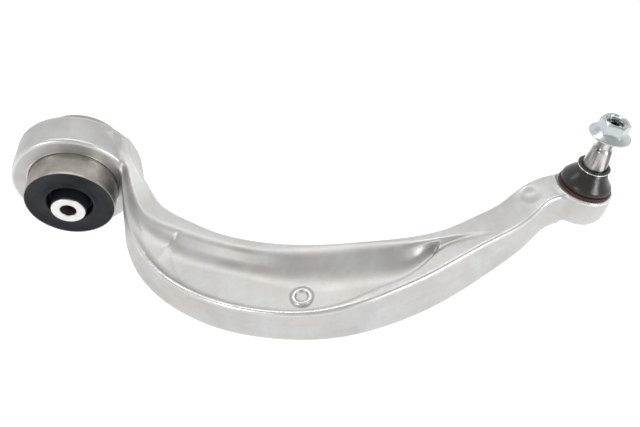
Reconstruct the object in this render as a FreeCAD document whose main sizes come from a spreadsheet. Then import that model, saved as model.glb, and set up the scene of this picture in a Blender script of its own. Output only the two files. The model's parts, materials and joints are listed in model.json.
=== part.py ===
"""Forged front control arm: hydraulic bush at one end, ball joint at the other.

Frame: the origin is the middle of the bush, +Y runs along its bolt away from the
open end face, +X points at the ball joint and +Z is up. Lengths in millimetres.
"""
import FreeCAD, Part
import math
import os
import re
import Sketcher
from collections import namedtuple

V = FreeCAD.Vector

# ---------------------------------------------------------------- dimensions
DIMS = {
    # bush, all round the Y axis
    "can_radius": 35.0, "can_bore": 33.2, "can_half": 33.0,
    "eye_radius": 48.5, "eye_front": 13.0, "eye_back": 18.0,
    "sleeve_radius": 13.2, "sleeve_bore": 6.1, "sleeve_half": 40.3,
    "cage_radius": 28.5, "cage_bore": 27.0, "cage_half": 30.5,
    "window_half": 18.0, "window_width": 40.0,
    "channel_half": 26.0, "channel_groove": 31.2, "channel_groove_half": 4.0, "channel_gap": 0.6,
    "rubber_half": 32.2, "rubber_bore": 13.25, "rubber_wall": 21.0, "rubber_leg": 16.0,
    "rubber_coat": 13.9, "rubber_coat_half": 38.5,
    "lip_inner": 17.5, "lip_outer": 21.0, "lip_height": 0.7, "moat_depth": 6.0,
    "stop_reach": 22.0, "stop_width": 14.0, "stop_half": 13.0,
    # ball joint, all round the stud's axis and measured from the ball's centre
    "ball_x": 390.6, "ball_y": -66.5, "ball_z": 2.4, "lean_out": 13.5, "lean_back": 7.6,
    "ball_radius": 12.5, "neck_radius": 6.6, "seat_radius": 9.05, "seat_foot": 20.0,
    "taper_foot": 28.5, "taper_top": 43.9, "taper_top_radius": 7.1,
    "key_flats": 6.0, "key_depth": 7.0,
    "undercut_radius": 5.75, "undercut_top": 53.0, "thread_radius": 7.0, "stud_end": 64.0,
    "shell_bore": 12.55, "shell_radius": 15.5, "shell_foot": -11.0, "shell_top": 7.2,
    "shell_mouth_foot": 6.0, "shell_mouth": 11.1, "shell_mouth_top": 12.0,
    "housing_radius": 21.2, "housing_top": 9.4, "housing_foot": -14.6,
    "housing_chamfer": 3.6, "housing_draw": 3.7,
    "housing_bore": 15.55, "housing_mouth": 12.4, "housing_mouth_top": 15.0,
    "cover_radius": 16.4, "cover_foot": -14.2, "cover_top": -12.8, "ring_bore": 9.0,
    "boot_radius": 18.0, "boot_top": 27.4, "boot_neck": 10.9,
    "boot_band_radius": 19.7, "boot_band_bore": 17.7, "boot_band_height": 2.2,
    "collar_bore": 9.12, "collar_radius": 10.0, "collar_foot": 22.0,
    "collar_flange": 11.8, "collar_flange_foot": 27.7, "collar_top": 28.7,
    "wire_radius": 0.5, "wire_ring": 10.9, "wire_height": 26.8,
    # flange nut
    "nut_foot": 54.8, "nut_height": 12.6, "nut_flats": 19.0, "nut_bore": 7.05,
    "nut_flange": 14.95, "nut_flange_edge": 1.4, "nut_flange_height": 4.2,
    "nut_flange_top": 10.8, "nut_crown": 8.9, "nut_corner": 11.2, "nut_chamfer": 1.8,
    # forging
    "corner": 3.5, "pocket_corner": 3.0, "pocket_clear": 6.0, "pocket_draft": 5.0,
    "boss_x": 181.5, "boss_y": -141.5, "boss_radius": 7.4, "boss_bore": 4.6,
    "boss_foot": 3.0, "boss_height": 4.6,
    "dimple_x": 350.0, "dimple_y": -73.0, "dimple_z": 24.0, "dimple_ball": 13.0,
}

# Stations of the forged blade, from the eye to the ball housing: where its middle
# is in plan, which way it heads, and how far it reaches to the inner side, to the
# outer side at its top face and at its bottom face, and where those faces are.
Station = namedtuple("Station", "x y heading inner outer outer_foot top foot")
BLADE = [
    Station(42, 6, -84, 8, 5, 6, 29, -24),
    Station(46, -13, -79, 9.5, 6.5, 7.5, 22, -20),
    Station(54, -39, -66, 14, 11, 13.5, 15.5, -17),
    Station(62, -61, -58, 18.5, 13, 18, 14, -16),
    Station(76, -85, -46, 27, 16.5, 21.5, 14, -16.5),
    Station(98, -106, -31, 31, 21.5, 24.5, 14, -16.5),
    Station(130, -121, -17, 31, 27, 29.5, 14, -16.5),
    Station(165, -130, -7, 31, 29, 31, 14, -16.5),
    Station(200, -133, 0, 30.5, 27.5, 30.5, 14, -17),
    Station(235, -128, 11, 25.5, 22.5, 28, 14.5, -18),
    Station(266, -119, 18, 17.5, 18.5, 24.5, 15, -18.5),
    Station(292, -108, 26, 12, 15.5, 21, 15, -18.5),
    Station(315, -96, 30, 10.5, 15.5, 19, 14.5, -17.5),
    Station(334, -86, 34, 11, 14.5, 16.5, 13.5, -16),
    Station(350, -75, 34, 12, 13, 14.5, 13, -14.5),
    Station(368, -69, 20, 13.5, 10.5, 12, 12.5, -13.5),
    Station(388, -67, 0, 13, 13, 13, 10.5, -12),
]

# A pocket's outer rim, the foot of its inner wall and its inner rim, each as a share
# of the way from the blade's outer edge (0) to its inner edge (1), and its depth. A
# depth below zero is above the face, so the pocket runs out before that station.
Pocket = namedtuple("Pocket", "station outer wall inner depth")
FRONT_POCKET = [
    Pocket(2, 0.30, 0.36, 0.55, 0.6),
    Pocket(3, 0.16, 0.34, 0.72, 5.0),
    Pocket(4, 0.12, 0.42, 0.85, 8.5),
    Pocket(5, 0.11, 0.48, 0.88, 9.0),
    Pocket(6, 0.11, 0.54, 0.89, 9.0),
    Pocket(7, 0.11, 0.56, 0.89, 9.0),
    Pocket(8, 0.12, 0.56, 0.89, 9.0),
    Pocket(9, 0.15, 0.56, 0.87, 8.5),
    Pocket(10, 0.24, 0.58, 0.82, 6.0),
    Pocket(11, 0.45, 0.60, 0.76, 0.6),
]
BACK_POCKET = [
    Pocket(4, 0.30, 0.40, 0.70, -1.5),
    Pocket(5, 0.16, 0.36, 0.82, 5.0),
    Pocket(6, 0.13, 0.40, 0.86, 7.0),
    Pocket(7, 0.13, 0.42, 0.87, 7.0),
    Pocket(8, 0.13, 0.42, 0.87, 7.0),
    Pocket(9, 0.16, 0.42, 0.85, 7.0),
    Pocket(10, 0.24, 0.44, 0.80, 5.0),
    Pocket(11, 0.42, 0.50, 0.66, -1.5),
]


def new_sheet(doc):
    """The spreadsheet of driving dimensions: one alias a dimension."""
    sheet = doc.addObject("Spreadsheet::Sheet", "Dims")
    for row, (alias, value) in enumerate(DIMS.items(), start=1):
        sheet.set("A%d" % row, alias)
        sheet.set("B%d" % row, repr(float(value)))
        sheet.setAlias("B%d" % row, alias)
    doc.recompute()
    return sheet


def bound(text):
    """Point an expression's words at the sheet: 'can_half - 2' reads Dims.can_half."""
    def cell(match):
        word = match.group(0)
        return "Dims." + word if word in DIMS else word
    return re.sub(r"[a-z_]+", cell, text)


def value_of(text):
    """The number behind a sum of dimensions, such as 'can_half + lip_height'."""
    total = 0.0
    sign = 1
    for word in text.split():
        if word in "+-":
            sign = 1 if word == "+" else -1
        else:
            total += sign * (DIMS[word] if word in DIMS else float(word))
    return total


# ---------------------------------------------------------------- ways of making
def ball_frame():
    """The ball joint's frame: its origin is the ball's centre, +Z the stud's axis."""
    outward = FreeCAD.Rotation(V(0, 1, 0), DIMS["lean_out"])
    backward = FreeCAD.Rotation(V(1, 0, 0), -DIMS["lean_back"])
    centre = V(DIMS["ball_x"], DIMS["ball_y"], DIMS["ball_z"])
    return FreeCAD.Placement(centre, outward.multiply(backward))


def bush_frame():
    """The bush's frame: a turned piece's own +Z becomes the part's +Y."""
    return FreeCAD.Placement(V(0, 0, 0), FreeCAD.Rotation(V(1, 0, 0), -90))


def turned(doc, name, corners, frame):
    """A body turned about its own Z axis from a closed outline of (radius, height)."""
    body = doc.addObject("PartDesign::Body", name)
    plane = next(f for f in body.Origin.OriginFeatures if f.Role == "XZ_Plane")
    sketch = body.newObject("Sketcher::SketchObject", name + "_outline")
    sketch.AttachmentSupport = [(plane, "")]
    sketch.MapMode = "FlatFace"
    doc.recompute()
    points = [V(value_of(radius), value_of(height), 0) for radius, height in corners]
    count = len(points)
    for index, point in enumerate(points):
        sketch.addGeometry(Part.LineSegment(point, points[(index + 1) % count]), False)
    for index in range(count):
        sketch.addConstraint(Sketcher.Constraint("Coincident", index, 2, (index + 1) % count, 1))
    for index, corner in enumerate(corners):
        for kind, text in zip(("DistanceX", "DistanceY"), corner):
            rule = Sketcher.Constraint(kind, -1, 1, index, 1, value_of(text))
            number = sketch.addConstraint(rule)
            sketch.setExpression("Constraints[%d]" % number, bound(text))
    spin = body.newObject("PartDesign::Revolution", name + "_turn")
    spin.Profile = sketch
    spin.ReferenceAxis = (sketch, ["V_Axis"])
    spin.Angle = 360.0
    body.Placement = frame
    return body


def primitive(doc, kind, name, frame=None, **sizes):
    """A Part primitive whose sizes are expressions over the sheet."""
    thing = doc.addObject("Part::" + kind, name)
    if frame is not None:
        thing.Placement = frame
    for size, text in sizes.items():
        thing.setExpression(size, bound(text))
    return thing


def block(doc, name, length, width, height, at):
    """A box of three expressions, its lowest corner at three more."""
    box = primitive(doc, "Box", name, Length=length, Width=width, Height=height)
    for axis, text in zip("xyz", at):
        box.setExpression("Placement.Base." + axis, bound(text))
    return box


def joined(doc, name, *things):
    """One solid from several that touch."""
    fuse = doc.addObject("Part::MultiFuse", name)
    fuse.Shapes = list(things)
    fuse.Refine = True
    return fuse


def cut(doc, name, base, tool):
    """One thing less another."""
    result = doc.addObject("Part::Cut", name)
    result.Base = base
    result.Tool = tool
    return result


def common(doc, name, base, tool):
    """What two things share."""
    result = doc.addObject("Part::Common", name)
    result.Base = base
    result.Tool = tool
    return result


def shaped(doc, name, shape):
    """A feature that holds a shape worked out below from the sheet's values."""
    feature = doc.addObject("Part::Feature", name)
    feature.Shape = shape
    return feature


# ---------------------------------------------------------------- the bush
def bush_outer_can(doc):
    """The steel can pressed into the eye."""
    return turned(doc, "bush_outer_can", [
        ("can_bore", "- can_half"), ("can_radius", "- can_half"),
        ("can_radius", "can_half"), ("can_bore", "can_half")], bush_frame())


def bush_inner_sleeve(doc):
    """The thick sleeve that the mounting bolt clamps."""
    return turned(doc, "bush_inner_sleeve", [
        ("sleeve_bore", "- sleeve_half"), ("sleeve_radius", "- sleeve_half"),
        ("sleeve_radius", "sleeve_half"), ("sleeve_bore", "sleeve_half")], bush_frame())


def bush_window_cage(doc):
    """The steel ring that the rubber is bonded to, with a window over each chamber."""
    ring = turned(doc, "cage_ring", [
        ("cage_bore", "- cage_half"), ("cage_radius", "- cage_half"),
        ("cage_radius", "cage_half"), ("cage_bore", "cage_half")], bush_frame())
    windows = block(doc, "cage_windows", "window_width", "window_half * 2", "eye_radius * 2",
                    ("- window_width / 2", "- window_half", "- eye_radius"))
    return cut(doc, "bush_window_cage", ring, windows)


def bush_channel_halves(doc):
    """The two half shells between cage and can, grooved for the fluid channel."""
    halves = []
    for side, foot in (("upper", "channel_gap / 2"), ("lower", "- eye_radius - channel_gap / 2")):
        ring = turned(doc, "channel_ring_" + side, [
            ("cage_radius", "- channel_half"), ("can_bore", "- channel_half"),
            ("can_bore", "- channel_groove_half"), ("channel_groove", "- channel_groove_half"),
            ("channel_groove", "channel_groove_half"), ("can_bore", "channel_groove_half"),
            ("can_bore", "channel_half"), ("cage_radius", "channel_half")], bush_frame())
        half = block(doc, "channel_side_" + side, "eye_radius * 2", "eye_radius * 2", "eye_radius",
                     ("- eye_radius", "- eye_radius", foot))
        halves.append(common(doc, "bush_channel_half_" + side, ring, half))
    return halves


def bush_rubber_spring(doc):
    """The rubber: two end walls and two legs, with a fluid chamber above and below."""
    moat_floor = "rubber_half - moat_depth"
    lip = "rubber_half + lip_height"

    def end(sign):
        """The outline across one end face, from the sleeve out to the can."""
        minus = "- " if sign < 0 else ""
        moat = "- rubber_half + moat_depth" if sign < 0 else moat_floor
        top = "- rubber_half - lip_height" if sign < 0 else lip
        return [("rubber_bore", minus + "rubber_coat_half"), ("rubber_coat", minus + "rubber_coat_half"),
                ("rubber_coat", moat), ("lip_inner", moat), ("lip_inner", top), ("lip_outer", top),
                ("lip_outer", minus + "rubber_half"), ("can_bore", minus + "rubber_half"),
                ("can_bore", minus + "channel_half"), ("cage_radius", minus + "channel_half"),
                ("cage_radius", minus + "cage_half"), ("cage_bore", minus + "cage_half")]

    moulding = turned(doc, "rubber_moulding", end(-1) + end(1)[::-1], bush_frame())
    chambers = [
        block(doc, "chamber_" + side, "eye_radius * 2", "rubber_wall * 2", "eye_radius",
              ("- eye_radius", "- rubber_wall", foot))
        for side, foot in (("upper", "rubber_leg / 2"), ("lower", "- rubber_leg / 2 - eye_radius"))]
    return cut(doc, "bush_rubber_spring", moulding, joined(doc, "chambers", *chambers))


def bush_travel_stops(doc):
    """The stops on the sleeve, one in each chamber, that limit its sideways travel."""
    stops = []
    for side, foot in (("upper", "0"), ("lower", "- stop_reach")):
        ring = turned(doc, "stop_ring_" + side, [
            ("sleeve_radius", "- stop_half"), ("stop_reach", "- stop_half"),
            ("stop_reach", "stop_half"), ("sleeve_radius", "stop_half")], bush_frame())
        width = block(doc, "stop_width_" + side, "stop_width", "stop_half * 2", "stop_reach",
                      ("- stop_width / 2", "- stop_half", foot))
        stops.append(common(doc, "bush_travel_stop_" + side, ring, width))
    return stops


# ---------------------------------------------------------------- the ball joint
def ball_stud(doc):
    """The stud: ball, neck, collar seat, taper, undercut, thread and hexagon socket."""
    shank = turned(doc, "stud_shank", [
        ("0", "0"), ("neck_radius", "0"), ("neck_radius", "seat_foot - 4"),
        ("seat_radius", "seat_foot"), ("seat_radius", "taper_foot"),
        ("taper_top_radius", "taper_top"), ("undercut_radius", "taper_top + 0.5"),
        ("undercut_radius", "undercut_top"), ("thread_radius", "undercut_top + 1"),
        ("thread_radius", "stud_end - 1"), ("thread_radius - 1", "stud_end"), ("0", "stud_end")],
        ball_frame())
    ball = primitive(doc, "Sphere", "stud_ball", ball_frame(), Radius="ball_radius")
    key = primitive(doc, "Prism", "stud_key", ball_frame(), Circumradius="key_flats / sqrt(3)",
                    Height="key_depth * 2")
    key.Polygon = 6
    key.Placement = ball_frame().multiply(
        FreeCAD.Placement(V(0, 0, value_of("stud_end - key_depth")), FreeCAD.Rotation()))
    return cut(doc, "ball_stud", joined(doc, "stud_blank", shank, ball), key)


def bearing_shell(doc):
    """The plastic shell round the ball, flared at its mouth for the stud's swing."""
    blank = turned(doc, "shell_blank", [
        ("0", "shell_foot"), ("shell_radius", "shell_foot"),
        ("shell_radius", "shell_top"), ("0", "shell_top")], ball_frame())
    hollow = primitive(doc, "Sphere", "shell_hollow", ball_frame(), Radius="shell_bore")
    mouth = turned(doc, "shell_flare", [
        ("0", "0"), ("shell_mouth", "0"), ("shell_mouth", "shell_mouth_foot"),
        ("shell_mouth_top", "shell_top + 0.5"), ("0", "shell_top + 0.5")], ball_frame())
    return cut(doc, "bearing_shell", blank, joined(doc, "shell_inside", hollow, mouth))


def socket_pressure_ring(doc):
    """The ring under the shell that keeps it pressed on the ball."""
    return turned(doc, "socket_pressure_ring", [
        ("ring_bore", "cover_top"), ("housing_bore", "cover_top"),
        ("housing_bore", "shell_foot - 0.05"), ("ring_bore", "shell_foot - 0.05")], ball_frame())


def socket_cover_plate(doc):
    """The plate rolled into the foot of the housing."""
    return turned(doc, "socket_cover_plate", [
        ("0", "cover_foot"), ("cover_radius", "cover_foot"),
        ("cover_radius", "cover_top"), ("0", "cover_top")], ball_frame())


def dust_boot(doc):
    """The bell of rubber from the housing's face up to the collar on the stud."""
    outer = [("boot_band_bore", "housing_top"), ("boot_band_bore", "housing_top + boot_band_height"),
             ("boot_radius", "housing_top + 3"), ("boot_radius - 2", "housing_top + 5.4"),
             ("boot_radius - 4.2", "housing_top + 8"), ("boot_neck + 2", "boot_top - 6.4"),
             ("boot_neck + 0.5", "boot_top - 2"), ("wire_ring - wire_radius", "boot_top - 1.2"),
             ("wire_ring - wire_radius", "boot_top")]
    inner = [("collar_radius", "boot_top"), ("collar_radius", "boot_top - 3"),
             ("boot_neck + 0.2", "boot_top - 7"), ("boot_radius - 6", "housing_top + 7.4"),
             ("boot_radius - 4", "housing_top + 5"), ("boot_radius - 2.4", "housing_top + 2.4"),
             ("boot_radius - 2.4", "housing_top")]
    return turned(doc, "dust_boot", outer + inner, ball_frame())


def boot_lower_ring(doc):
    """The band that holds the boot on the housing."""
    return turned(doc, "boot_lower_ring", [
        ("boot_band_bore", "housing_top"), ("boot_band_radius", "housing_top"),
        ("boot_band_radius", "housing_top + boot_band_height"),
        ("boot_band_bore", "housing_top + boot_band_height")], ball_frame())


def boot_collar(doc):
    """The flanged collar that carries the boot's top on the stud."""
    return turned(doc, "boot_collar", [
        ("collar_bore", "collar_foot"), ("collar_radius", "collar_foot"),
        ("collar_radius", "collar_flange_foot"), ("collar_flange", "collar_flange_foot"),
        ("collar_flange", "collar_top"), ("collar_bore", "collar_top")], ball_frame())


def boot_upper_ring(doc):
    """The wire ring that grips the boot's top on its collar."""
    at = ball_frame().multiply(FreeCAD.Placement(V(0, 0, DIMS["wire_height"]), FreeCAD.Rotation()))
    return primitive(doc, "Torus", "boot_upper_ring", at, Radius1="wire_ring", Radius2="wire_radius")


def flange_nut(doc):
    """A hexagon nut with its flange, chamfered at the top."""
    cone = turned(doc, "nut_cone", [
        ("nut_bore", "nut_foot"), ("nut_flange", "nut_foot"),
        ("nut_flange", "nut_foot + nut_flange_edge"),
        ("nut_flange_top", "nut_foot + nut_flange_height"),
        ("nut_bore", "nut_foot + nut_flange_height")], ball_frame())
    crown = turned(doc, "nut_crown_cone", [
        ("nut_bore", "nut_foot"), ("nut_corner", "nut_foot"),
        ("nut_corner", "nut_foot + nut_height - nut_chamfer"),
        ("nut_crown", "nut_foot + nut_height"), ("nut_bore", "nut_foot + nut_height")],
        ball_frame())
    at = ball_frame().multiply(FreeCAD.Placement(V(0, 0, DIMS["nut_foot"]), FreeCAD.Rotation()))
    hexagon = primitive(doc, "Prism", "nut_hexagon", at, Circumradius="nut_flats / sqrt(3)",
                        Height="nut_height")
    hexagon.Polygon = 6
    return joined(doc, "flange_nut", common(doc, "nut_body", crown, hexagon), cone)


# ---------------------------------------------------------------- the forging
def station_point(station, across, height):
    """A point of a blade section: 'across' is towards the inner side of the curve."""
    angle = math.radians(station.heading)
    return V(station.x - math.sin(angle) * across, station.y + math.cos(angle) * across, height)


def rounded(corners, radius):
    """A closed wire through corners, each rounded off by a short curve."""
    edges = []
    count = len(corners)
    ends = []
    for index, corner in enumerate(corners):
        before = corners[index - 1] - corner
        after = corners[(index + 1) % count] - corner
        trim = min(radius, 0.45 * before.Length, 0.45 * after.Length)
        ends.append((corner + before.normalize() * trim, corner + after.normalize() * trim))
    for index, corner in enumerate(corners):
        curve = Part.BezierCurve()
        curve.setPoles([ends[index][0], corner, ends[index][1]])
        edges.append(curve.toShape())
        edges.append(Part.makeLine(ends[index][1], ends[(index + 1) % count][0]))
    return Part.Wire(edges)


def blade():
    """The curved blade from the eye to the housing, lofted through its stations."""
    sections = []
    for station in BLADE:
        sections.append(rounded([
            station_point(station, station.inner, station.top),
            station_point(station, station.inner, station.foot),
            station_point(station, -station.outer_foot, station.foot),
            station_point(station, -station.outer, station.top)], DIMS["corner"]))
    return Part.makeLoft(sections, True, False)


def pocket(stops, side):
    """The pocket in one face of the blade: side is 1 for the top face, -1 below."""
    sections = []
    for stop in stops:
        station = BLADE[stop.station]
        foot = station.outer if side > 0 else station.outer_foot
        level = station.top if side > 0 else station.foot
        rim, wall, outer = (share * (station.inner + foot) - foot
                            for share in (stop.inner, stop.wall, stop.outer))
        lean = (rim - wall) / max(stop.depth, DIMS["pocket_draft"])
        floor = level - side * stop.depth
        over = level + side * DIMS["pocket_clear"]
        sections.append(rounded([
            station_point(station, outer, over),
            station_point(station, outer + 1.0, floor),
            station_point(station, wall, floor),
            station_point(station, rim + lean * DIMS["pocket_clear"], over)], DIMS["pocket_corner"]))
    return Part.makeLoft(sections, True, False)


def arm_forging(doc):
    """The one-piece forging: eye, blade with its pockets, and ball housing."""
    eye = turned(doc, "eye", [
        ("0", "- eye_front"), ("eye_radius", "- eye_front"),
        ("eye_radius", "eye_back"), ("0", "eye_back")], bush_frame())
    housing = turned(doc, "housing", [
        ("0", "housing_foot"), ("housing_radius - housing_draw", "housing_foot"),
        ("housing_radius", "housing_foot + housing_chamfer"),
        ("housing_radius", "housing_top"), ("0", "housing_top")], ball_frame())
    blank = cut(doc, "pocketed_blade", shaped(doc, "blade", blade()),
                joined(doc, "pockets", shaped(doc, "front_pocket", pocket(FRONT_POCKET, 1)),
                       shaped(doc, "back_pocket", pocket(BACK_POCKET, -1))))
    boss = primitive(doc, "Cylinder", "boss", Radius="boss_radius", Height="boss_height")
    well = primitive(doc, "Cylinder", "boss_well", Radius="boss_bore", Height="boss_height")
    for thing, lift in ((boss, "0"), (well, "boss_height / 2")):
        thing.setExpression("Placement.Base.x", bound("boss_x"))
        thing.setExpression("Placement.Base.y", bound("boss_y"))
        thing.setExpression("Placement.Base.z", bound("boss_foot + " + lift))
    ring = cut(doc, "boss_ring", boss, well)
    solid = joined(doc, "forged_blank", blank, eye, housing, ring)
    bore_start = FreeCAD.Placement(V(0, -DIMS["eye_radius"], 0), bush_frame().Rotation)
    bore = primitive(doc, "Cylinder", "eye_bore", bore_start, Radius="can_radius",
                     Height="eye_radius * 2")
    cavity = turned(doc, "socket_cavity", [
        ("0", "housing_foot - 1"), ("cover_radius", "housing_foot - 1"),
        ("cover_radius", "cover_top"), ("housing_bore", "cover_top"),
        ("housing_bore", "shell_top + 0.1"), ("housing_mouth", "shell_top + 0.1"),
        ("housing_mouth_top", "housing_top"), ("housing_mouth_top", "housing_top + 12"),
        ("0", "housing_top + 12")], ball_frame())
    dimple = primitive(doc, "Sphere", "dimple", Radius="dimple_ball")
    for axis in "xyz":
        dimple.setExpression("Placement.Base." + axis, bound("dimple_" + axis))
    return cut(doc, "arm_forging", solid, joined(doc, "machining", bore, cavity, dimple))


# ---------------------------------------------------------------- the whole part
def check(doc, pieces):
    """Stop if any object failed, or any piece is empty, broken or in several bits."""
    for thing in doc.Objects:
        if "Invalid" in thing.State or "Error" in thing.State:
            raise RuntimeError("failed: " + thing.Name)
    for piece in pieces:
        shape = piece.Shape
        if shape.isNull() or not shape.isValid() or len(shape.Solids) != 1:
            raise RuntimeError("bad shape: %s, %d solids" % (piece.Label, len(shape.Solids)))


def main():
    """Build every piece and write one STEP file for each."""
    doc = FreeCAD.newDocument("control_arm")
    new_sheet(doc)
    pieces = [arm_forging(doc), bush_outer_can(doc), bush_inner_sleeve(doc), bush_window_cage(doc),
              bush_rubber_spring(doc), ball_stud(doc), bearing_shell(doc), socket_pressure_ring(doc),
              socket_cover_plate(doc), dust_boot(doc), boot_lower_ring(doc), boot_collar(doc),
              boot_upper_ring(doc), flange_nut(doc)]
    pieces += bush_channel_halves(doc)
    pieces += bush_travel_stops(doc)
    doc.recompute()
    check(doc, pieces)
    os.makedirs("parts", exist_ok=True)
    for piece in pieces:
        piece.Shape.exportStep("parts/%s.step" % piece.Label)
        print(piece.Label, round(piece.Shape.Volume), "mm3")


main()
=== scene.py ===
"""Looks of a forged front control arm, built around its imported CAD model.

Lengths are in millimetres until a mesh is made, where MM turns them into metres.
"""
import json
import math
from collections import namedtuple

import bmesh
import bpy
import numpy as np
from mathutils import Matrix, Vector


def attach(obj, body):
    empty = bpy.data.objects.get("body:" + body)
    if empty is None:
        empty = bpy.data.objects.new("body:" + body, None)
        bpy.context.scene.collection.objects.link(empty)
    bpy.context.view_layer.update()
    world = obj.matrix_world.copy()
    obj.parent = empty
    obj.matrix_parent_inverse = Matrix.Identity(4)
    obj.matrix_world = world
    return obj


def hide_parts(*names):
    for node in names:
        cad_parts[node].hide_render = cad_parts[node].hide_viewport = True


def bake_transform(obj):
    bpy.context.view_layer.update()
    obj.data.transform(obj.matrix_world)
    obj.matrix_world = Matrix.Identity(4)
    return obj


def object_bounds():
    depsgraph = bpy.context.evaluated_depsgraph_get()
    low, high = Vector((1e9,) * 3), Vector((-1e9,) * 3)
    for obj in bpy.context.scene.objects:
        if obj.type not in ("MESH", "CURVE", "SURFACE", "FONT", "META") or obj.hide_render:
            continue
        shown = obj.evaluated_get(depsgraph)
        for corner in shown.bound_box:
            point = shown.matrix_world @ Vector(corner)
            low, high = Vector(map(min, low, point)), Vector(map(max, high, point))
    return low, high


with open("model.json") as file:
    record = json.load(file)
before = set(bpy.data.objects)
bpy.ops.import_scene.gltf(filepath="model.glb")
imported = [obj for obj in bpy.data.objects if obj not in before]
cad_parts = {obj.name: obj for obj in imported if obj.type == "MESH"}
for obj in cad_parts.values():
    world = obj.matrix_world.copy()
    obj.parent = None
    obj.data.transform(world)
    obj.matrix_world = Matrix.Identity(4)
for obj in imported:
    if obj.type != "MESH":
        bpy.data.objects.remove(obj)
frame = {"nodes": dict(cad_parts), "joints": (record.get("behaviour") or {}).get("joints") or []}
cad_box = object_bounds()

MM = 0.001

# ---------------------------------------------------------------- sizes, in millimetres
CAN_RADIUS, CAN_BORE, CAN_HALF, CAN_END = 35.0, 33.2, 33.0, 34.35
EYE_RADIUS, EYE_FRONT, EYE_BACK, EYE_DRAFT = 48.5, 13.0, 18.0, 1.0
SLEEVE_RADIUS, SLEEVE_BORE, SLEEVE_HALF = 13.2, 6.1, 40.3
RUBBER_HALF, RUBBER_COAT, RUBBER_COAT_HALF = 32.2, 13.9, 38.5
CAGE_RADIUS, CAGE_BORE, CAGE_HALF, CHANNEL_HALF = 28.5, 27.0, 30.5, 26.0
LIP_INNER, LIP_OUTER, LIP_HEIGHT, MOAT_DEPTH = 17.5, 21.0, 0.7, 6.0
CHAMBER_HALF, CHAMBER_LEG = 21.0, 8.0
HOUSING_RADIUS, HOUSING_TOP, HOUSING_FOOT = 21.2, 9.4, -14.6
HOUSING_DRAW, HOUSING_CHAMFER = 3.7, 3.6
COVER_RADIUS, COVER_TOP = 16.4, -12.8
SOCKET_BORE, SOCKET_TOP, SOCKET_MOUTH, SOCKET_MOUTH_TOP = 15.55, 7.3, 12.4, 15.0
BALL_RADIUS, NECK_RADIUS, SEAT_RADIUS, SEAT_FOOT = 12.5, 6.6, 9.05, 20.0
TAPER_FOOT, TAPER_TOP, TAPER_TOP_RADIUS = 28.5, 43.9, 7.1
UNDERCUT_RADIUS, UNDERCUT_TOP, STUD_END = 5.75, 53.0, 64.0
THREAD_RADIUS, THREAD_PITCH, THREAD_DEPTH, NUT_THREAD_GAP = 7.0, 1.5, 0.9, 0.08
KEY_FLATS, KEY_DEPTH = 6.0, 7.0
BAND_RADIUS, BAND_BORE, BAND_HEIGHT = 19.7, 17.7, 2.2
COLLAR_BORE, COLLAR_RADIUS, COLLAR_FOOT = 9.12, 10.0, 22.0
COLLAR_FLANGE, COLLAR_FLANGE_FOOT, COLLAR_TOP = 11.8, 27.7, 28.7
WIRE_RADIUS, WIRE_RING, WIRE_HEIGHT = 0.5, 10.9, 26.8
BOOT_TOP = 27.4
NUT_FOOT, NUT_HEIGHT, NUT_FLATS, NUT_FLANGE = 54.8, 12.6, 19.0, 14.95
NUT_EDGE, NUT_FLANGE_TOP, NUT_FLANGE_HEIGHT = 1.4, 10.8, 4.2
NUT_CROWN, NUT_CORNER, NUT_CHAMFER = 8.9, 11.2, 1.8
BOSS, BOSS_RADIUS, BOSS_BORE, BOSS_TOP, BOSS_WELL = (181.5, -141.5), 7.4, 4.4, 7.2, 1.9
DIMPLE, DIMPLE_BALL = (350.0, -73.0, 25.3), 13.0
EYE_BLEND, HOUSING_BLEND = 9.0, 4.0
FACET_AT, FACET_RISE = 111, 1.7
POCKET_END, POCKET_END_SKEW, POCKET_END_RISE, POCKET_END_LENGTH = 304, 1.3, 6.6, 5.5
FORGING_LOW, FORGING_HIGH = (-50.5, -165.0, -50.5), (414.5, 18.0, 50.5)
FINE_STEP, QUICK_STEP = 1.2, 2.4
NEAREST_CHUNK = 40000
BOOT_LEAN = 1.1

# The camera: where it stands, which way its right and its top point, and its lens.
CAMERA_PLACE = (211.05, -433.28, 429.31)
CAMERA_RIGHT, CAMERA_UP = (0.99671, -0.04211, -0.06927), (0.07711, 0.75622, 0.64976)
CAMERA_LENS, CAMERA_SENSOR = 42.19, 36.0
FLOOR_REACH, FLOOR_DROP, FLOOR_GLOW = 8, 0.09, 0.25
SKY_LEAN = (0, -0.34, 0.94)
SKY_LEVELS = ((0.15, 0.95), (0.5, 0.58), (0.85, 0.50))
LIGHT_AIM = (0.2, -0.07, 0.0)

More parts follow.
